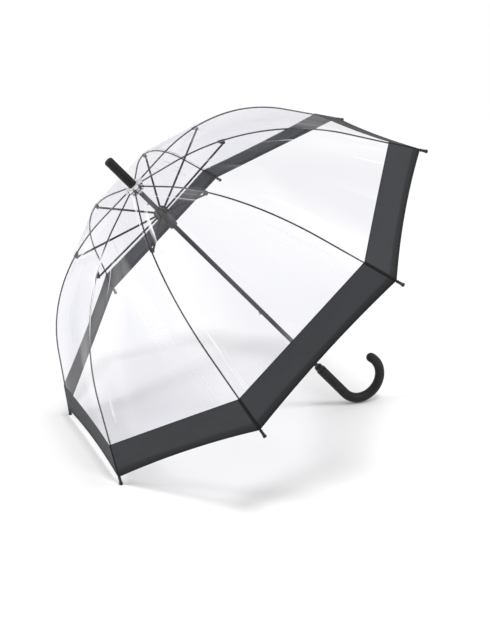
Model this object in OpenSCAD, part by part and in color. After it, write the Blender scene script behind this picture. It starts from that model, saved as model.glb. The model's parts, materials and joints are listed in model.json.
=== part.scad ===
// Clear dome umbrella with a fabric border, a crook handle and eight ribs.
// The shaft stands along Z, ferrule up. The origin is on the shaft's axis, at the middle of the
// grip's straight length. The crook hooks towards +X. The umbrella is modelled open.

/* [Canopy] */
// Height of the hem above the middle of the grip
hem_z = 345; // [320:1:370]
// Radius of the hem at the ribs
hem_r = 485; // [480:1:490]
// Slope of the ribs at the crown, in degrees
crown_slope = 8; // [7:0.5:9]
// Slope of the ribs at the hem, in degrees
hem_slope = 55; // [54:0.5:56]
// Radius at which the ribs start to bend
bend_start_r = 95; // [90:1:100]
// Radius of the bend in the ribs
bend_radius = 440; // [435:1:445]
// Thickness of the clear film
film_t = 0.4; // [0.3:0.05:0.5]
// Width of the fabric border along the slope
border_w = 69; // [50:1:90]
// Thickness of the border fabric
border_t = 0.6; // [0.5:0.1:0.8]
// Width of the folded hem
fold_w = 14; // [10:1:18]

/* [Ribs and stretchers] */
// Number of ribs
rib_count = 8; // [8]
// Diameter of the rib rods
rib_d = 3; // [2.8:0.1:3]
// Radius at which a stretcher meets its rib
knee_r = 200; // [190:1:210]
// Radius of the pivot circles in the notch and the runner
pivot_r = 12; // [12:0.5:13]
// Distance from the ribs' line down to the notch pivots
pivot_drop = 8; // [7:0.5:9]
// Distance between the two pins of a rib joint
pin_gap = 5.2; // [5:0.1:6]
// Elevation of a rib's upper half when closed, in degrees below level
closed_slope = 88.4; // [88:0.1:88.5]
// Length of a rib tip beyond the hem
tip_out = 17; // [14:1:20]

/* [Shaft and runner] */
// Outer diameter of the shaft
shaft_d = 10; // [9.5:0.1:10]
// Wall of the shaft tube
shaft_wall = 0.8; // [0.7:0.1:0.9]
// Outer diameter of the runner's sleeve
sleeve_d = 18; // [16:0.5:18]
// Length of the runner below its pivots
sleeve_len = 41; // [39:1:48]
// Distance from the runner's pivots down to the middle of its window
window_drop = 25.5; // [24:0.5:28]
// Height of the top stop above the hem
stop_rise = 277; // [274:1:285]

/* [Ferrule and handle] */
// Diameter of the ferrule
ferrule_d = 19.2; // [18:0.2:20]
// Length of the ferrule
ferrule_len = 74; // [60:1:85]
// Outer radius of the rosette
rosette_r = 24; // [20:1:30]
// Diameter of the grip
grip_d = 22; // [20:0.5:24]
// Straight length of the grip with its collar
grip_len = 105; // [95:1:115]
// Length of the collar
collar_len = 12.5; // [10:0.5:15]
// Radius of the crook's centreline
crook_r = 51; // [48:1:56]
// Sweep of the crook, in degrees
crook_sweep = 196; // [180:1:210]

/* [Hidden] */
$fn = 64;
arc_fn = 360;
running_gap = 0.3;
press_gap = 0.05;
slot_w = 3.8;
half_step = 180 / rib_count;

// The rib line in its own plane: straight at the crown, an arc, then straight to the hem
bend_end_r = bend_start_r + bend_radius * (sin(hem_slope) - sin(crown_slope));
bend_end_z = hem_z + (hem_r - bend_end_r) * tan(hem_slope);
bend_cx = bend_start_r - bend_radius * sin(crown_slope);
bend_cz = bend_end_z - bend_radius * cos(hem_slope);
bend_start_z = bend_cz + bend_radius * cos(crown_slope);
border_r = hem_r - border_w * cos(hem_slope);
canopy_gap = 3;

function rib_z(r) =
    r < bend_start_r ? bend_start_z + (bend_start_r - r) * tan(crown_slope)
    : r < bend_end_r ? bend_cz + sqrt(bend_radius * bend_radius - (r - bend_cx) * (r - bend_cx))
    : hem_z + (hem_r - r) * tan(hem_slope);
function rib_slope(r) =
    r < bend_start_r ? crown_slope
    : r < bend_end_r ? asin((r - bend_cx) / bend_radius)
    : hem_slope;
function rib_azimuth(k) = -half_step * (2 * k - 1);
// A point a distance above the rib line, square to it
function above_rib(r, d) = [r + d * sin(rib_slope(r)), rib_z(r) + d * cos(rib_slope(r))];

// Pivots in the rib plane. The notch and runner pivots lie on equal arms about the rib joint,
// so the stretchers' inner ends keep their radius while the umbrella folds.
knee_slope = rib_slope(knee_r);
knee = [knee_r, rib_z(knee_r)];
joint = knee - pin_gap * [sin(knee_slope), cos(knee_slope)];
notch_pivot = [pivot_r, rib_z(pivot_r) - pivot_drop];
arm_len = norm(joint - notch_pivot);
open_slope = atan2(notch_pivot[1] - joint[1], joint[0] - notch_pivot[0]);
runner_pivot = [pivot_r, joint[1] - arm_len * sin(open_slope)];
travel = 2 * arm_len * (sin(closed_slope) - sin(open_slope));

// Rib joint
eye_r = 2.2;
eye_t = 3;
pin_d = 1.9;
pin_hole_d = 2.3;
ear_t = 0.9;
ear_gap = 3.4;
socket_d = 4.8;
socket_len = 7.4;
socket_back = 3.6;
rib_start_r = 19;
bead_d = rib_d + 0.3;

// Tips
tip_d = 4.6;
tip_in = 12;
rod_out = 8;

// Stretchers
stretcher_w = 3.2;
stretcher_h = 3;
channel_wall = 0.7;
tongue_len = 9;
tongue_w = 2.8;
cross_pin_d = 1.6;
cross_pin_len = 5.6;

// Notch and runner
hub_r = 15.5;
core_r = 9;
notch_h = 10;
wire_d = 1.5;
crown_up = 9;
crown_down = 6;
window_w = 4;
window_h = 16;

// Catches: a leaf inside the shaft with a nose that stands out through a slot
catch_t = 1.8;
catch_reach = 24;
catch_slot_w = 2.6;
catch_slot_h = 20;
nose_x = -8.2;
top_catch_z = runner_pivot[1] - window_drop;
bottom_catch_z = top_catch_z - travel;
stop_z = hem_z + stop_rise;
stop_d = 2.4;

// Ferrule and rosette
rosette_t = 0.8;
rosette_lift = (canopy_gap + film_t) / cos(crown_slope) + running_gap;
ferrule_z = rib_z(shaft_d / 2) + rosette_lift + rosette_t;
ferrule_round = 4;
ferrule_hold = 22;

// Handle
grip_top = grip_len / 2 - collar_len;
grip_bottom = -grip_len / 2;
grip_hold = 82;
end_step = 0.3;

// Helpers. The rib plane is XZ here, and Y runs across it.
module in_rib_plane(k) rotate([0, 0, rib_azimuth(k)]) children();
module at_point(p) translate([p[0], 0, p[1]]) children();
module across(d, h) rotate([90, 0, 0]) cylinder(d = d, h = h, center = true);
module plate(points, t) rotate([90, 0, 0]) linear_extrude(height = t, center = true) polygon(points);

// A round rod from one point of the rib plane to another
module rod(from, to, d) {
    run = to - from;
    at_point(from) rotate([0, atan2(run[0], run[1]), 0]) cylinder(d = d, h = norm(run));
}

// A round rod along the bend, between two slopes
module bent_rod(slope_from, slope_to, d) {
    translate([bend_cx, 0, bend_cz]) rotate([90, 0, 0]) rotate([0, 0, 90 - slope_to])
        rotate_extrude(angle = slope_to - slope_from, $fn = arc_fn)
            translate([bend_radius, 0]) circle(d = d, $fn = 32);
}

// Half a ball on its flat face
module dome(r) rotate_extrude() intersection() {
    circle(r = r);
    square(r);
}

module at_knee() at_point(knee) rotate([0, knee_slope, 0]) children();

// One thin slot for each rib, cut out of a hub
module rib_slots(z, h, w, from, to) {
    for (k = [1:rib_count])
        in_rib_plane(k) translate([from, -w / 2, z]) cube([to - from, w, h]);
}

module shaft() {
    bottom = grip_top - grip_hold;
    top = ferrule_z + ferrule_hold;
    color("#3d4043") difference() {
        translate([0, 0, bottom]) cylinder(d = shaft_d, h = top - bottom);
        translate([0, 0, bottom - 1]) cylinder(d = shaft_d - 2 * shaft_wall, h = top - bottom + 2);
        for (z = [top_catch_z, bottom_catch_z])
            translate([-shaft_d, -catch_slot_w / 2, z - catch_slot_h / 2])
                cube([shaft_d, catch_slot_w, catch_slot_h]);
        translate([0, 0, stop_z]) rotate([0, 90, 0])
            cylinder(d = stop_d + 2 * press_gap, h = 2 * shaft_d, center = true);
    }
}

// A solid tip cap that sits on the shaft's upper end, with a rounded edge
module ferrule() {
    r = ferrule_d / 2;
    color("#1c1d1f") difference() {
        union() {
            translate([0, 0, ferrule_z]) cylinder(r = r, h = ferrule_len - ferrule_round);
            translate([0, 0, ferrule_z + ferrule_len - ferrule_round]) {
                cylinder(r = r - ferrule_round, h = ferrule_round);
                rotate_extrude() intersection() {
                    translate([r - ferrule_round, 0]) circle(r = ferrule_round);
                    translate([r - ferrule_round, 0]) square(ferrule_round);
                }
            }
        }
        translate([0, 0, ferrule_z - 1])
            cylinder(d = shaft_d + 2 * press_gap, h = ferrule_hold + 1 + running_gap);
    }
}

// A thin washer that follows the crown of the film
module rosette() {
    inner = shaft_d / 2 + press_gap;
    color("#e6e6ea", 0.7) rotate_extrude() polygon([
        [inner, rib_z(inner) + rosette_lift],
        [rosette_r, rib_z(rosette_r) + rosette_lift],
        [rosette_r, rib_z(rosette_r) + rosette_lift + rosette_t],
        [inner, rib_z(inner) + rosette_lift + rosette_t]]);
}

module notch() {
    z = notch_pivot[1] - notch_h / 2;
    color("#c9c9cd") difference() {
        translate([0, 0, z]) cylinder(r = hub_r, h = notch_h);
        translate([0, 0, z - 1]) cylinder(d = shaft_d + 2 * press_gap, h = notch_h + 2);
        rib_slots(z - 1, notch_h + 2, slot_w, core_r, hub_r + 2);
        translate([0, 0, notch_pivot[1]]) rotate_extrude()
            translate([pivot_r - wire_d / 2 - press_gap, -wire_d / 2 - press_gap])
                square([hub_r, wire_d + 2 * press_gap]);
    }
}

// The wire that the eyes of all the ribs turn on
module notch_ring() {
    color("#8b8d90") translate([0, 0, notch_pivot[1]])
        rotate_extrude($fn = 96) translate([pivot_r, 0]) circle(d = wire_d, $fn = 32);
}

module top_stop() {
    head_d = 4.4;
    head_x = shaft_d / 2 + press_gap;
    color("#5d5f62") translate([0, 0, stop_z]) rotate([0, -90, 0]) {
        translate([0, 0, -shaft_d / 2]) cylinder(d = stop_d, h = shaft_d);
        translate([0, 0, head_x]) cylinder(d1 = head_d, d2 = stop_d, h = -nose_x - head_x);
        translate([0, 0, shaft_d / 2 - 1]) cylinder(d = stop_d, h = 2);
    }
}

module crook_handle() {
    color("#17181a") difference() {
        union() {
            translate([0, 0, grip_bottom]) cylinder(d = grip_d, h = grip_top - grip_bottom);
            translate([crook_r, 0, grip_bottom]) rotate([90, 0, 0]) rotate([0, 0, 180]) {
                rotate_extrude(angle = crook_sweep, $fn = arc_fn)
                    translate([crook_r, 0]) circle(d = grip_d, $fn = 64);
                rotate([0, 0, crook_sweep]) translate([crook_r, 0, 0]) rotate([-90, 0, 0])
                    dome(grip_d / 2 - end_step);
            }
        }
        translate([0, 0, grip_top - grip_hold - running_gap])
            cylinder(d = shaft_d + 2 * press_gap, h = grip_hold + 1);
    }
}

module handle_collar() {
    inner = shaft_d / 2 + press_gap;
    color("#1f2022") rotate_extrude() polygon([
        [inner, grip_top], [9.6, grip_top], [9.2, grip_top + collar_len - 2],
        [8, grip_top + collar_len], [inner, grip_top + collar_len]]);
}

// A sleeve with a slotted crown. Grooves in the slots seat the stretchers' cross pins from below,
// and the window takes the nose of a catch.
module runner() {
    z = runner_pivot[1];
    groove = cross_pin_d + 2 * running_gap;
    color("#333538") difference() {
        union() {
            translate([0, 0, z - sleeve_len]) cylinder(d = sleeve_d, h = sleeve_len + crown_up);
            translate([0, 0, z - crown_down]) cylinder(r = hub_r, h = crown_down + 4);
            translate([0, 0, z + 4]) cylinder(r1 = hub_r, r2 = 12, h = crown_up - 4);
        }
        translate([0, 0, z - sleeve_len - 1])
            cylinder(d = shaft_d + 2 * running_gap, h = sleeve_len + crown_up + 2);
        rib_slots(z - crown_down - 1, crown_down + crown_up + 2, slot_w, core_r, hub_r + 2);
        for (k = [1:rib_count]) in_rib_plane(k)
            translate([pivot_r - groove / 2, -cross_pin_len / 2 - running_gap, z - crown_down - 1])
                cube([groove, cross_pin_len + 2 * running_gap, crown_down + 1 + groove / 2]);
        translate([-sleeve_d, -window_w / 2, z - window_drop - window_h / 2])
            cube([sleeve_d, window_w, window_h]);
    }
}

// The leaf stands up from its pivot, and the nose has its flat face at the far end
module catch_leaf() {
    plate([[-4, -catch_reach], [-3, -catch_reach], [-3, 8], [-4, 8]], catch_t);
    plate([[-3.4, 5], [nose_x, 5], [nose_x, 2.5], [-3.9, -6.5], [-3.4, -6.5]], catch_t);
    translate([-2.6, 0, -catch_reach]) across(2.4, catch_t);
}

module top_catch() color("#77797c") translate([0, 0, top_catch_z]) catch_leaf();
module bottom_catch()
    color("#77797c") translate([0, 0, bottom_catch_z]) mirror([0, 0, 1]) catch_leaf();

// The rib's upper half: an eye on the notch ring, the rod, and the joint's socket, ears and pins
module upper_rib(k) {
    start = [rib_start_r, rib_z(rib_start_r)];
    bend = [bend_start_r, bend_start_z];
    rod_end = knee_slope - socket_back / bend_radius * 180 / PI;
    ear = [[-10.6, 1.5], [0.6, 1.5], [2.4, 0.4], [2.4, -pin_gap - 0.6],
           [1.2, -pin_gap - 2.2], [-1.2, -pin_gap - 2.2], [-10.6, -1.8]];
    color("#242527") in_rib_plane(k) {
        difference() {
            union() {
                at_point(notch_pivot) across(2 * eye_r + 0.2, eye_t);
                rod(notch_pivot, start, rib_d);
                rod(start, bend, rib_d);
                for (p = [start, bend]) at_point(p) sphere(d = bead_d);
                bent_rod(crown_slope, rod_end, rib_d);
                at_knee() rotate([0, 90, 0]) translate([0, 0, -socket_back - socket_len])
                    cylinder(d = socket_d, h = socket_len);
                for (side = [-1, 1]) at_knee()
                    translate([0, side * (ear_gap + ear_t) / 2, 0]) plate(ear, ear_t);
                for (w = [0, -pin_gap]) at_knee()
                    translate([0, 0, w]) across(pin_d, ear_gap + 2 * ear_t);
            }
            at_point(notch_pivot) across(pin_hole_d, eye_t + 1);
        }
    }
}

// The rib's lower half, from the joint out to the rod's end inside its tip
module lower_rib(k) {
    hem = [hem_r, hem_z];
    down = [cos(hem_slope), -sin(hem_slope)];
    bend_end = [bend_end_r, bend_end_z];
    color("#242527") in_rib_plane(k) difference() {
        union() {
            at_point(knee) across(2 * eye_r, eye_t);
            bent_rod(knee_slope, hem_slope, rib_d);
            rod(bend_end, hem + rod_out * down, rib_d);
            at_point(bend_end) sphere(d = bead_d);
        }
        at_point(knee) across(pin_hole_d, eye_t + 1);
    }
}

// A moulded cap with a round end, turned about the rib's line
module rib_tip(k) {
    r = tip_d / 2;
    color("#161719") in_rib_plane(k) at_point([hem_r, hem_z]) rotate([0, 90 + hem_slope, 0])
        rotate_extrude() difference() {
            union() {
                translate([0, -tip_in]) square([r, tip_in + tip_out - r]);
                translate([0, tip_out - r]) intersection() {
                    circle(r = r);
                    square(r);
                }
            }
            translate([0, -tip_in - 1])
                square([rib_d / 2 + press_gap, tip_in + 1 + rod_out + running_gap]);
        }
}

// A folded channel with an eye at the rib and a cross pin at the runner
module stretcher(k) {
    channel_h = stretcher_h - channel_wall;
    color("#2a2b2d") in_rib_plane(k) at_point(joint) rotate([0, 180 - open_slope, 0])
        difference() {
            union() {
                translate([4, -stretcher_w / 2, -stretcher_h / 2])
                    cube([arm_len - 8, stretcher_w, stretcher_h]);
                translate([0, -tongue_w / 2, -stretcher_h / 2])
                    cube([arm_len, tongue_w, stretcher_h]);
                across(2 * eye_r, tongue_w);
                translate([arm_len, 0, 0]) across(2 * eye_r, tongue_w);
                translate([arm_len, 0, 0]) across(cross_pin_d, cross_pin_len);
            }
            across(pin_hole_d, tongue_w + 1);
            translate([tongue_len, channel_wall - stretcher_w / 2, -stretcher_h / 2 - 1])
                cube([arm_len - 2 * tongue_len, stretcher_w - 2 * channel_wall, channel_h + 1]);
        }
}

// A panel is straight from rib to rib, so it is the rib line's profile, drawn in and extruded,
// and cut to the wedge between two ribs
module gore(k, profile) {
    draw_in = cos(half_step);
    reach = hem_r + 60;
    rotate([0, 0, rib_azimuth(k) - half_step]) intersection() {
        plate([for (p = profile) [p[0] * draw_in, p[1]]], 2 * reach);
        translate([0, 0, hem_z - 60]) linear_extrude(height = 460)
            polygon([[0, 0], [reach, -reach * tan(half_step)], [reach, reach * tan(half_step)]]);
    }
}

module film_panel(k) {
    film_start_r = 14;
    steps = 12;
    slope_step = (hem_slope - crown_slope) / steps;
    radii = concat(
        [film_start_r],
        [for (i = [0:steps]) bend_cx + bend_radius * sin(crown_slope + i * slope_step)],
        [border_r]);
    last = len(radii) - 1;
    color("#e8e8f0", 0.35) gore(k, concat(
        [for (r = radii) above_rib(r, canopy_gap + film_t)],
        [for (i = [0:last]) above_rib(radii[last - i], canopy_gap)]));
}

module border_panel(k) {
    fold_r = hem_r - fold_w * cos(hem_slope);
    color("#454648") gore(k, [
        above_rib(border_r, canopy_gap), above_rib(border_r, canopy_gap + border_t),
        above_rib(fold_r, canopy_gap + border_t), above_rib(fold_r, canopy_gap + 2 * border_t),
        above_rib(hem_r, canopy_gap + 2 * border_t), above_rib(hem_r, canopy_gap)]);
}

shaft();
ferrule();
rosette();
notch();
notch_ring();
top_stop();
crook_handle();
handle_collar();
runner();
top_catch();
bottom_catch();
for (k = [1:rib_count]) {
    upper_rib(k);
    lower_rib(k);
    rib_tip(k);
    stretcher(k);
    film_panel(k);
    border_panel(k);
}
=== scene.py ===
import json
from math import asin, atan, cos, exp, pi, radians, sin, sqrt, tan

import bpy
from mathutils import Matrix, Vector


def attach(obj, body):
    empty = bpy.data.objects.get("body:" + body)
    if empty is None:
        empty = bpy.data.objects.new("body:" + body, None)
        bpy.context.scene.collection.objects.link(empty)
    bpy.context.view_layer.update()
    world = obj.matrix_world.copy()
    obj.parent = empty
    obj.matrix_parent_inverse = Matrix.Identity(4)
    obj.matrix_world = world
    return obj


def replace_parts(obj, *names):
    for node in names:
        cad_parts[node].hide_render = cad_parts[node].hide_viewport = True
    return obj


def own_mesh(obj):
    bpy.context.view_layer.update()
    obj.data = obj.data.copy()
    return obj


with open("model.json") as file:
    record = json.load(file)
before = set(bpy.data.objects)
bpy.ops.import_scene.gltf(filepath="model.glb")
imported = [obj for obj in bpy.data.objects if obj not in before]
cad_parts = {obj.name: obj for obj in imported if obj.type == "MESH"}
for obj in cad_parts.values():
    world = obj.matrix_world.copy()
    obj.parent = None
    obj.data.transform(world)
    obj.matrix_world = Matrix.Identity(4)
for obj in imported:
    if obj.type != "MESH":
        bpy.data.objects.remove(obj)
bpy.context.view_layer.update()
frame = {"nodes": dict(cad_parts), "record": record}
scene = bpy.context.scene

# The rib line, as in the CAD source, in metres: straight at the hub, then bent, then straight to the hem
RIBS = 8
HALF = pi / RIBS  # half a gore, as an angle
HEM_R, HEM_Z = 0.485, 0.345
CROWN, HEM = radians(8), radians(55)  # slopes at the hub and at the hem
BEND_START, BEND = 0.095, 0.440  # where the bend starts, and its radius
BEND_END = BEND_START + BEND * (sin(HEM) - sin(CROWN))
BEND_CX = BEND_START - BEND * sin(CROWN)
BEND_CZ = HEM_Z + (HEM_R - BEND_END) * tan(HEM) - BEND * cos(HEM)
BEND_TOP = BEND_CZ + BEND * cos(CROWN)
KNEE_R = 0.200

# The sheets, in metres
BORDER_W, FOLD_W = 0.069, 0.014  # along the slope
BORDER_R = HEM_R - BORDER_W * cos(HEM)
LAP = 0.0015  # how far the film reaches under the border
FILM_START = 0.014  # radius of the hole at the hub
SPLIT_R = KNEE_R + 0.0016  # the film's two lengths meet over the ears of the knee joint
LIFT = 0.0027  # cloth above the rib line
KNUCKLE, KNUCKLE_W = 0.0030, 0.014  # extra lift over the knee joint, and how far it reaches each way
FILM_DROP = 0.0003  # the film lies just inside the cloth where they are sewn together
FOLD_DROP, FOLD_TURN = 0.0008, 0.8  # how far the turned-up fold lies inside, and how steeply it turns
SAG = 0.007  # how far the cloth dips at mid gore, as a share of the radius
HEM_RISE = 0.095  # how far the hem arches up at mid gore, as a share of the border's width

# The seams and the weave, in metres, as the sheets' UV is: X away from the rib, and Y along it
SEAM_START, SEAM_END = 0.0028, 0.0046  # the film's weld, from the rib
TAPE_AT_HEM, TAPE_AT_TOP = 0.0044, 0.0034  # half width of the tape along the rib
WARP, WEFT = 0.0007, 0.0006  # thread spacing
STITCH, STITCH_HALF_W, STITCH_INSET = 0.0028, 0.00045, 0.0015  # length, half width, place from the edge
HEM_SHADE_START, HEM_SHADE_END = 0.004, FOLD_W + 0.006  # the painted shade where the hem rolls under fades out between these

# The rosette and the rib tips, in metres
MM = 0.001
PETAL_FOOT, PETAL_T = 0.0055, 0.0004  # radius at the shaft, and thickness
PETAL_WAIST = 0.62  # the notches between petals, as a share of their reach
PETAL_CURL, PETAL_WAVE = 0.0016, 0.0004  # rise of the notches and of the ripples at the rim
TIP_OUTLINE = [  # distance past the hem, and radius, in MM: neck, collar and round end
    (-12, 1.7), (-11.6, 2.1), (-2, 2.2), (0.4, 2.4), (0.8, 3.3), (2.0, 3.5), (2.8, 3.0),
    (6, 2.8), (10, 3.1), (12.2, 3.7), (14.4, 4.0), (15.8, 3.7), (16.7, 2.6), (17, 0.05),
]

# The stage: the umbrella lies on its side, so the floor slants in its frame
FLOOR = Vector((0.679, 0, 0.734)).normalized()  # straight up from the floor
FLOOR_DEPTH, FLOOR_HALF_W = 0.067, 6.0  # below the origin, in metres, and half the floor's side
CENTRE = Vector((0, 0, 0.35))  # the lights are placed from here
ROOM_LIGHT, BACKDROP = 0.68, 1.0  # strength of the room's light, and of the background


def rib_slope(r):
    return CROWN if r < BEND_START else HEM if r > BEND_END else asin((r - BEND_CX) / BEND)


def rib_z(r):
    if r < BEND_START:
        return BEND_TOP + (BEND_START - r) * tan(CROWN)
    if r > BEND_END:
        return HEM_Z + (HEM_R - r) * tan(HEM)
    return BEND_CZ + sqrt(BEND * BEND - (r - BEND_CX) ** 2)


def arc_length(r):
    """Distance along the rib line from the axis."""
    flat = min(r, BEND_START) / cos(CROWN)
    bent = BEND * (rib_slope(min(r, BEND_END)) - CROWN) if r > BEND_START else 0
    return flat + bent + max(r - BEND_END, 0) / cos(HEM)


def rib_turn(k):
    """The turn from the X axis to rib k."""
    return Matrix.Rotation(-HALF * (2 * k - 1), 3, "Z")


def add(name, data):
    """A new object in the scene."""
    made = bpy.data.objects.new(name, data)
    scene.collection.objects.link(made)
    return made


def aim(thing, direction):
    """Turns an object's Z axis to a direction."""
    thing.rotation_mode = "QUATERNION"
    thing.rotation_quaternion = direction.to_track_quat("Z", "Y")


# Camera: back and up are its own Z and Y axes
back, up = Vector((-0.0481, -0.8719, 0.4873)), Vector((0.7348, 0.2996, 0.6086))
right = up.cross(back).normalized()
up = back.cross(right).normalized()
camera = add("camera", bpy.data.cameras.new("camera"))
turned = Matrix((right, up, back.normalized())).transposed().to_4x4()
camera.matrix_world = Matrix.Translation((-0.1552, -2.4231, 1.6443)) @ turned
camera.data.lens, camera.data.sensor_width = 74.95, 36
camera.data.clip_start, camera.data.clip_end = 0.05, 60
scene.camera = camera
scene.view_settings.view_transform = "Standard"


# Materials
class Nodes:
    """A new material's node tree. Calling it adds a node, and a link is given as an output socket."""

    def __init__(self, name):
        self.material = bpy.data.materials.new(name)
        self.material.use_nodes = True
        self.tree = self.material.node_tree
        self.tree.nodes.clear()

    def __call__(self, kind, output=0, props=(), **inputs):
        """Inputs are named, with _ for a space, or numbered as i0, i1 and so on."""
        node = self.tree.nodes.new("ShaderNode" + kind)
        for key, value in dict(props).items():
            setattr(node, key, value)
        for key, value in inputs.items():
            numbered = key[0] == "i" and key[1:].isdigit()
            socket = node.inputs[int(key[1:]) if numbered else key.replace("_", " ")]
            if isinstance(value, bpy.types.NodeSocket):
                self.tree.links.new(value, socket)
            else:
                socket.default_value = value
        return node.outputs[output]

    def math(self, operation, a, b=0.0, c=0.0):
        return self("Math", props={"operation": operation}, i0=a, i1=b, i2=c)

    def times_plus(self, a, b, c):
        return self.math("MULTIPLY_ADD", a, b, c)

    def times(self, a, b):
        return self.math("MULTIPLY", a, b)

    def spread(self, value, low, high, start=0.0, end=1.0):
        """Maps start..end to low..high, and holds the ends."""
        return self("MapRange", Value=value, From_Min=start, From_Max=end, To_Min=low, To_Max=high)

    def blend(self, factor, a, b):
        return self("Mix", 2, {"data_type": "RGBA"}, i0=factor, i6=a, i7=b)

    def coords(self, scale=(1, 1, 1), kind="Object"):
        where = self.tree.nodes.new("ShaderNodeTexCoord").outputs[kind]
        return self("Mapping", Vector=where, Scale=scale)

    def noise(self, scale, detail=3.0, kind="Object"):
        return self("TexNoise", Vector=self.coords(scale, kind), Scale=1.0, Detail=detail)

    def bump(self, height, depth):
        return self("Bump", Height=height, Strength=1.0, Distance=depth)

    def done(self, shader):
        output = self.tree.nodes.new("ShaderNodeOutputMaterial")
        self.tree.links.new(shader, output.inputs["Surface"])
        return self.material


def shade(colour, factor):
    """The colour made darker or lighter, with an alpha of 1."""
    return tuple(min(1.0, c * factor) for c in colour) + (1.0,)


def finish(name, colour, rough, grain, depth, spread=0.25, metallic=0.0, coat=0.0, gloss=0.3, rings=None):
    """A solid surface: mottled colour and roughness, and grain and turned rings, at a pitch, as bump."""
    n = Nodes(name)
    broad = n.noise((30, 30, 30), 4.0)
    fine = n.noise(grain)
    tone = n.times_plus(fine, 0.4, n.times(broad, 0.6))
    height = fine
    if rings:
        # The wave node's bands have a pitch of pi / 10 at a scale of 1
        turned = n("TexWave", "Fac", {"bands_direction": "Z"}, Vector=n.coords(), Scale=pi / 10 / rings,
                   Distortion=0.0)
        height = n.math("ADD", fine, turned)
    dark, light = shade(colour, 1 - spread), shade(colour, 1 + spread)
    return n.done(n("BsdfPrincipled",
                    Base_Color=n.blend(n.spread(tone, 0.0, 1.0, 0.3, 0.7), dark, light),
                    Roughness=n.spread(tone, rough - 0.09, rough + 0.09, 0.3, 0.7),
                    Metallic=metallic, Coat_Weight=coat, Coat_Roughness=0.25, Specular_IOR_Level=gloss,
                    Normal=n.bump(height, depth)))


def film():
    """Clear film, faintly lavender, with glossy wrinkles and welded seams, painted highlights along pulled
    creases and as broad glare, and painted shade away from the ribs.
    """
    n = Nodes("clear_film")
    wrinkles = n.noise((34, 5, 1), 3.0, "UV")
    broad = n.noise((6, 4, 1), 2.0, "UV")
    normal = n.bump(n.times_plus(broad, 4.0, wrinkles), 0.0008)
    beside = n("SeparateXYZ", "X", Vector=n.coords(kind="UV"))
    seam = n.times(n.math("LESS_THAN", beside, SEAM_END), n.math("GREATER_THAN", beside, SEAM_START))
    # Painted highlights: a few thin pulled creases that run along the gore near its rib are painted whiter
    # and cloudier where they would catch the light
    painted_glint_lines = n.math("POWER", n.noise((130, 2.6, 1), 2.0, "UV"), 8.0)
    near = n.times(n.spread(beside, 1.0, 0.25, 0.01, 0.08), n.noise((9, 12, 1), 1.0, "UV"))
    painted_crease_glint = n.times(n.spread(n.times(painted_glint_lines, near), 0.0, 1.0, 0.0085, 0.020), 0.85)
    # Painted glare: broad soft highlights painted as whiter, cloudier film, broken up by the wrinkles
    painted_glare = n.times(n.spread(n.noise((8, 2.4, 1), 1.0, "UV"), 0.0, 0.15, 0.52, 0.70),
                    n.spread(wrinkles, 0.6, 1.0, 0.35, 0.6))
    # The film's own haze, at random and at the welds, plus the painted glare
    haze_and_painted_glare = n.math("ADD", n.times_plus(seam, 0.10, painted_glare), n.spread(broad, 0.01, 0.06, 0.36, 0.62))
    painted_highlight = n.math("MAXIMUM", painted_crease_glint, n.spread(painted_glare, 0.0, 1.0, 0.0, 0.06))
    # The base colour turns near white where the painted highlights fall
    tint = n.blend(painted_highlight, n.blend(seam, (0.62, 0.61, 0.72, 1), (0.5, 0.5, 0.56, 1)), (0.97, 0.97, 0.98, 1))
    body = n("BsdfPrincipled", Base_Color=tint, Roughness=n.spread(wrinkles, 0.12, 0.3), Normal=normal)
    # Painted shade: away from the ribs the film slants, so it passes less light, and its see-through tint
    # is painted darker there
    painted_slant_shade = n.spread(n.times_plus(broad, 0.12, beside), 0.0, 1.0, 0.08, 0.17)
    passed = n("BsdfTransparent", Color=n.blend(painted_slant_shade, (0.938, 0.938, 0.954, 1), (0.868, 0.870, 0.898, 1)))
    cloud_and_painted_glare = n("MixShader", i0=n.math("ADD", haze_and_painted_glare, painted_crease_glint), i1=passed, i2=body)
    facing = n("LayerWeight", "Facing", Blend=0.5, Normal=normal)
    gloss = n.times_plus(n.math("POWER", facing, 4.0), 0.2, 0.008)
    shine = n("BsdfAnisotropic", Color=(1, 1, 1, 1), Roughness=0.08, Normal=normal)
    return n.done(n("MixShader", i0=gloss, i1=cloud_and_painted_glare, i2=shine))


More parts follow.
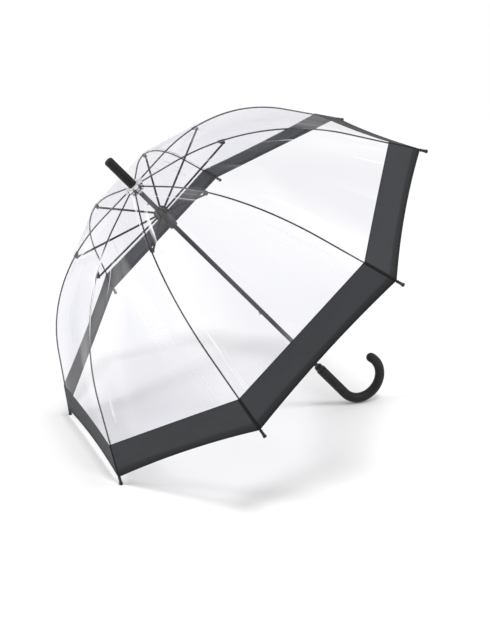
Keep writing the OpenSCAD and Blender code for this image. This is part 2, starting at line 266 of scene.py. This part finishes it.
def fabric():
    """Woven cloth: threads, a rolled hem with painted shade along it, a stitch row at hem and top, seam
    tape, and slack creases that also paint shade into the colour.
    """
    n = Nodes("border_fabric")
    uv = n.coords(kind="UV")
    across, along = n("SeparateXYZ", "X", Vector=uv), n("SeparateXYZ", "Y", Vector=uv)
    warp, weft = n.times(across, 2 * pi / WARP), n.times(along, 2 * pi / WEFT)
    weave = n.times(n.math("SINE", warp), n.math("SINE", weft))
    slub = n.noise((90, 900, 1), 3.0, "UV")
    crease_bump_and_shade = n.noise((9, 24, 1), 3.0, "UV")
    hem = n.math("LESS_THAN", along, FOLD_W)
    painted_hem_shade = n.spread(along, 1.0, 0.0, HEM_SHADE_START, HEM_SHADE_END)
    tape = n.math("LESS_THAN", across, n.spread(along, TAPE_AT_HEM, TAPE_AT_TOP, 0.0, BORDER_W))
    dash = n.math("GREATER_THAN", n.math("FRACT", n.math("DIVIDE", across, STITCH)), 0.3)

    def stitch_row(edge):
        off = n.math("ABSOLUTE", n.math("SUBTRACT", along, edge - STITCH_INSET))
        return n.times(n.math("LESS_THAN", off, STITCH_HALF_W), dash)

    stitch = n.math("ADD", stitch_row(FOLD_W), stitch_row(BORDER_W))
    # The creases' share of the tone is painted shade along the folds; the weave and slub are the threads'
    # own tone
    tone = n.times_plus(weave, 0.05, n.times_plus(slub, 0.35, n.times(crease_bump_and_shade, 0.55)))
    colour = n.blend(n.spread(tone, 0, 1, 0.2, 0.7), (0.031, 0.0335, 0.037, 1), (0.047, 0.051, 0.056, 1))
    # Painted shade along the rolled hem, where the cloth turns away from the light
    colour = n.blend(n.times(painted_hem_shade, 0.85), colour, (0.006, 0.006, 0.007, 1))
    colour = n.blend(n.times(tape, 0.95), colour, (0.003, 0.003, 0.0035, 1))
    colour = n.blend(stitch, colour, (0.006, 0.006, 0.006, 1))
    height = n.times_plus(weave, 0.05, n.times_plus(crease_bump_and_shade, 3.0, n.times(slub, 0.1)))
    height = n.times_plus(n.math("ADD", hem, tape), 0.35, n.times_plus(stitch, -0.3, height))
    return n.done(n("BsdfPrincipled", Base_Color=colour, Roughness=n.spread(tone, 0.62, 0.8, 0.2, 0.7),
                    Sheen_Weight=0.06, Sheen_Roughness=0.4, Sheen_Tint=(0.92, 0.94, 1.0, 1.0),
                    Specular_IOR_Level=0.22, Normal=n.bump(height, 0.0012)))


def milky():
    """Milky flexible plastic of uneven density."""
    n = Nodes("rosette_plastic")
    cloud = n.noise((160, 160, 160), 4.0)
    return n.done(n("BsdfPrincipled",
                    Base_Color=n.blend(cloud, (0.78, 0.78, 0.81, 1), (0.92, 0.92, 0.94, 1)),
                    Roughness=n.spread(cloud, 0.18, 0.4), Alpha=n.spread(cloud, 0.45, 0.85, 0.3, 0.7),
                    Normal=n.bump(cloud, 0.0008)))


# Grain is the noise scale along X, Y and Z, and depth the height of its bumps in metres
FINISHES = {
    "shaft_metal": dict(colour=(0.026, 0.028, 0.031), rough=0.36, grain=(900, 900, 14), depth=0.00004,
                        spread=0.18, metallic=0.35, coat=0.3),
    "ferrule_plastic": dict(colour=(0.006, 0.006, 0.0065), rough=0.55, grain=(1500, 1500, 1500),
                            depth=0.00012, spread=0.35, rings=0.0016),
    "hub_plastic": dict(colour=(0.58, 0.58, 0.60), rough=0.42, grain=(1100, 1100, 1100), depth=0.00005),
    "ring_wire": dict(colour=(0.50, 0.50, 0.51), rough=0.3, grain=(500, 500, 500), depth=0.00002,
                      spread=0.15, metallic=1.0),
    "stop_metal": dict(colour=(0.25, 0.25, 0.26), rough=0.35, grain=(700, 700, 700), depth=0.00002,
                       spread=0.15, metallic=1.0),
    "handle_grip": dict(colour=(0.004, 0.004, 0.0045), rough=0.55, grain=(1300, 1300, 1300), depth=0.00007,
                        spread=0.3, coat=0.08),
    "collar_plastic": dict(colour=(0.010, 0.010, 0.011), rough=0.34, grain=(900, 900, 900), depth=0.00003),
    "runner_plastic": dict(colour=(0.036, 0.035, 0.031), rough=0.42, grain=(1000, 1000, 300),
                           depth=0.00005),
    "catch_metal": dict(colour=(0.35, 0.35, 0.36), rough=0.34, grain=(800, 800, 60), depth=0.00002,
                        spread=0.15, metallic=1.0),
    "rib_rod": dict(colour=(0.004, 0.004, 0.005), rough=0.4, grain=(700, 700, 90), depth=0.00003,
                    spread=0.3, gloss=0.2),
    "stretcher_metal": dict(colour=(0.007, 0.007, 0.008), rough=0.42, grain=(600, 600, 600), depth=0.00003,
                            gloss=0.2),
    "tip_plastic": dict(colour=(0.007, 0.007, 0.007), rough=0.28, grain=(800, 800, 800), depth=0.00002,
                        spread=0.3, coat=0.3),
}
MATERIALS = {name: finish(name, **look) for name, look in FINISHES.items()}
MATERIALS.update(clear_film=film(), border_fabric=fabric(), rosette_plastic=milky())


def smooth(mesh, angle):
    """Smooth shading, with edges sharper than the angle, in degrees, left sharp."""
    mesh.polygons.foreach_set("use_smooth", [True] * len(mesh.polygons))
    mesh.set_sharp_from_angle(angle=radians(angle))


# The CAD nodes keep their shapes and get their materials
for part in frame["record"]["subparts"]:
    shape = frame["nodes"][part["node"]].data
    shape.materials.clear()
    shape.materials.append(MATERIALS[part["material_slot"]])
    smooth(shape, angle=35)


def grid(name, rows, columns, at, slot, closed=False):
    """A mesh of rows by columns. at(row share, column share) gives a point and its UV."""
    around = columns if closed else columns + 1
    made = [at(i / rows, j / columns) for i in range(rows + 1) for j in range(around)]
    faces = []
    for i in range(rows):
        for j in range(columns):
            this, following = i * around + j, i * around + (j + 1) % around
            faces.append((this, this + around, following + around, following))
    mesh = bpy.data.meshes.new(name)
    mesh.from_pydata([point for point, _ in made], [], faces)
    layer = mesh.uv_layers.new(name="cut")
    for loop in mesh.loops:
        layer.data[loop.index].uv = made[loop.vertex_index][1]
    smooth(mesh, angle=80)
    mesh.materials.append(MATERIALS[slot])
    piece = add(name, mesh)
    return piece


def mid_gore(u):
    """0 at the rib and 1 at mid gore, where it levels off."""
    return 1 - (1 - u) ** 2


# Canopy: each rib carries the half gores on its two sides, in three lengths, so each piece follows one body
def canopy(r, u, side, drop):
    """A point on the canopy by a rib that lies over the X axis: u is 0 at the rib and 1 at mid gore."""
    slope = rib_slope(r)
    lift = LIFT - drop + KNUCKLE * exp(-((r - KNEE_R) / KNUCKLE_W) ** 2)
    reach = r + lift * sin(slope)
    point = Vector((reach * (1 - u * sin(HALF) ** 2), side * u * reach * sin(HALF) * cos(HALF),
                    rib_z(r) + lift * cos(slope)))
    across = atan(tan(slope) / cos(HALF))
    outward = Vector((sin(across) * cos(HALF), side * sin(across) * sin(HALF), cos(across)))
    return point - outward * (SAG * r * mid_gore(u))


def half_gore(name, k, side, part, node, slot, start, end, rows, columns, keep):
    """Cloth between two radii, from rib k to mid gore. part is the half of the rib that carries it."""
    turn = rib_turn(k)

    def film_at(i, j):
        r = start + (end - start) * i
        # Each half gore takes its creases from its own stretch of the noise
        length = arc_length(r) + 0.7 * k + 5.3 * (side > 0)
        return turn @ canopy(r, j, side, FILM_DROP), (j * r * sin(HALF), length)

    def border_at(i, j):
        # Rows run down to the hem, round it, and up again inside as the fold
        path = (BORDER_W + FOLD_W) * i
        down = min(path, 2 * BORDER_W - path)
        drop = max(0.0, min(FOLD_DROP, (path - BORDER_W) * FOLD_TURN))
        r = start + down * cos(HEM) * (1 - HEM_RISE * mid_gore(j) * down / BORDER_W)
        return turn @ canopy(r, j, side, drop), (j * r * sin(HALF), abs(BORDER_W - path))

    is_border = slot == "border_fabric"
    piece = grid(name, rows, columns, border_at if is_border else film_at, slot)
    if side > 0:
        piece.data.flip_normals()
    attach(piece, f"{part}_{k}")
    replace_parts(piece, node)
    long = arc_length(end) - arc_length(start) + (FOLD_W if is_border else 0)
    # The ends of the rib's chord
    a, b = Vector((start, 0, rib_z(start))), Vector((end, 0, rib_z(end)))
    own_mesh(piece)


# Name, half of the rib, node, slot, radius at top and bottom, rows, columns, share of width when closed
LENGTHS = [
    ("film_crown", "upper", "film_panel", "clear_film", FILM_START, SPLIT_R, 22, 10, 0.04),
    ("film_skirt", "lower", "film_panel", "clear_film", SPLIT_R, BORDER_R + LAP, 34, 12, 0.1),
    ("border", "lower", "border_panel", "border_fabric", BORDER_R, HEM_R, 24, 18, 0.066),
]
for k in range(1, RIBS + 1):
    # Panel k spans from rib k, on side a, to rib k + 1, on side b
    for letter, side, panel in (("a", -1, k), ("b", 1, (k - 2) % RIBS + 1)):
        for name, part, node, *cut in LENGTHS:
            half_gore(f"{name}_{k}{letter}", k, side, part, f"{node}_{panel}", *cut)


def petals(name, turned, reach, rise):
    """A row of petals round the foot of the ferrule, with its rise above the rib line."""
    def at(i, j):
        angle = 2 * pi * j + turned
        lobe = abs(cos(RIBS * angle / 2)) ** 0.7
        outer = reach * (PETAL_WAIST + (1 - PETAL_WAIST) * lobe)
        r = PETAL_FOOT + (outer - PETAL_FOOT) * i
        curl = PETAL_CURL * i * i * (1 - lobe) + PETAL_WAVE * i * sin(3 * RIBS * angle)
        return Vector((r * cos(angle), r * sin(angle), rib_z(r) + rise + curl)), (r * angle, r)

    piece = grid(name, rows=7, columns=128, at=at, slot="rosette_plastic", closed=True)
    thick = piece.modifiers.new("thickness", "SOLIDIFY")
    thick.thickness, thick.offset = PETAL_T, 0
    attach(piece, "frame")
    return piece


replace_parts(petals("rosette_petals_low", turned=0.0, reach=0.0235, rise=0.0036), "rosette")
petals("rosette_petals_high", turned=HALF, reach=0.0165, rise=0.0042)


def tip_cap(k):
    """A rib tip: a neck in the hem's pocket, a collar at the hem, and a round end."""
    turn = rib_turn(k)
    out = Vector((cos(HEM), 0, -sin(HEM)))
    side = Vector((0, 1, 0))
    above = side.cross(out)
    steps = len(TIP_OUTLINE) - 1

    def at(i, j):
        first = min(int(i * steps), steps - 1)
        (a, radius_a), (b, radius_b) = TIP_OUTLINE[first], TIP_OUTLINE[first + 1]
        share = i * steps - first
        length, r = MM * (a + (b - a) * share), MM * (radius_a + (radius_b - radius_a) * share)
        ring = (side * cos(2 * pi * j) + above * sin(2 * pi * j)) * r
        return turn @ (Vector((HEM_R, 0, HEM_Z)) + out * length + ring), (r * j, length)

    piece = grid(f"tip_cap_{k}", rows=2 * steps, columns=20, at=at, slot="tip_plastic", closed=True)
    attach(piece, f"lower_{k}")
    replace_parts(piece, f"rib_tip_{k}")


for k in range(1, RIBS + 1):
    tip_cap(k)


def floor():
    """White matt ground, seen from above only, with painted shade: darker near the umbrella and brighter
    further out.
    """
    n = Nodes("floor")
    grain = n.noise((3, 3, 3))
    away = n("VectorMath", "Value", {"operation": "LENGTH"}, i0=n.coords())
    # Painted shade round the umbrella: the colour darkens towards the origin, plus a little grain at random
    grain_and_painted_shade = n.times_plus(grain, 0.2, n.spread(away, 0.0, 1.0, 0.3, 1.3))
    matte = n("BsdfDiffuse", Color=n.blend(grain_and_painted_shade, (0.89, 0.89, 0.89, 1), (0.96, 0.96, 0.96, 1)))
    below = n("NewGeometry", "Backfacing")
    w = FLOOR_HALF_W
    mesh = bpy.data.meshes.new("floor")
    mesh.from_pydata([(-w, -w, 0), (w, -w, 0), (w, w, 0), (-w, w, 0)], [], [(0, 1, 2, 3)])
    mesh.materials.append(n.done(n("MixShader", i0=below, i1=matte, i2=n("BsdfTransparent"))))
    ground = add("floor", mesh)
    aim(ground, FLOOR)
    ground.location = FLOOR * -FLOOR_DEPTH


def disk_light(name, place, target, size, watts):
    light = bpy.data.lights.new(name, "AREA")
    light.shape, light.size, light.energy = "DISK", size, watts
    lamp = add(name, light)
    lamp.location = place
    aim(lamp, place - target)


def sun_light(name, direction, strength, width):
    light = bpy.data.lights.new(name, "SUN")
    light.energy, light.angle = strength, width
    aim(add(name, light), direction)


def white_room():
    """The room is darker than the white background that the camera sees."""
    world = bpy.data.worlds.new("studio")
    world.use_nodes = True
    room, link = world.node_tree.nodes, world.node_tree.links.new
    seen = room.new("ShaderNodeMapRange")
    seen.inputs["To Min"].default_value, seen.inputs["To Max"].default_value = ROOM_LIGHT, BACKDROP
    link(room.new("ShaderNodeLightPath").outputs["Is Camera Ray"], seen.inputs["Value"])
    link(seen.outputs[0], room["Background"].inputs["Strength"])
    room["Background"].inputs["Color"].default_value = (1, 1, 1, 1)
    scene.world = world


floor()
disk_light("side", CENTRE + FLOOR * 0.9 - right * 2.2 + back * 0.6, CENTRE, size=0.5, watts=14)
disk_light("edge", CENTRE + right * 1.6 + up * 0.5 + back * 0.5, CENTRE + right * 0.4, size=0.8, watts=6)
sun_light("key", FLOOR - Vector((0, 0.3, 0)), strength=1.2, width=radians(15))
white_room()
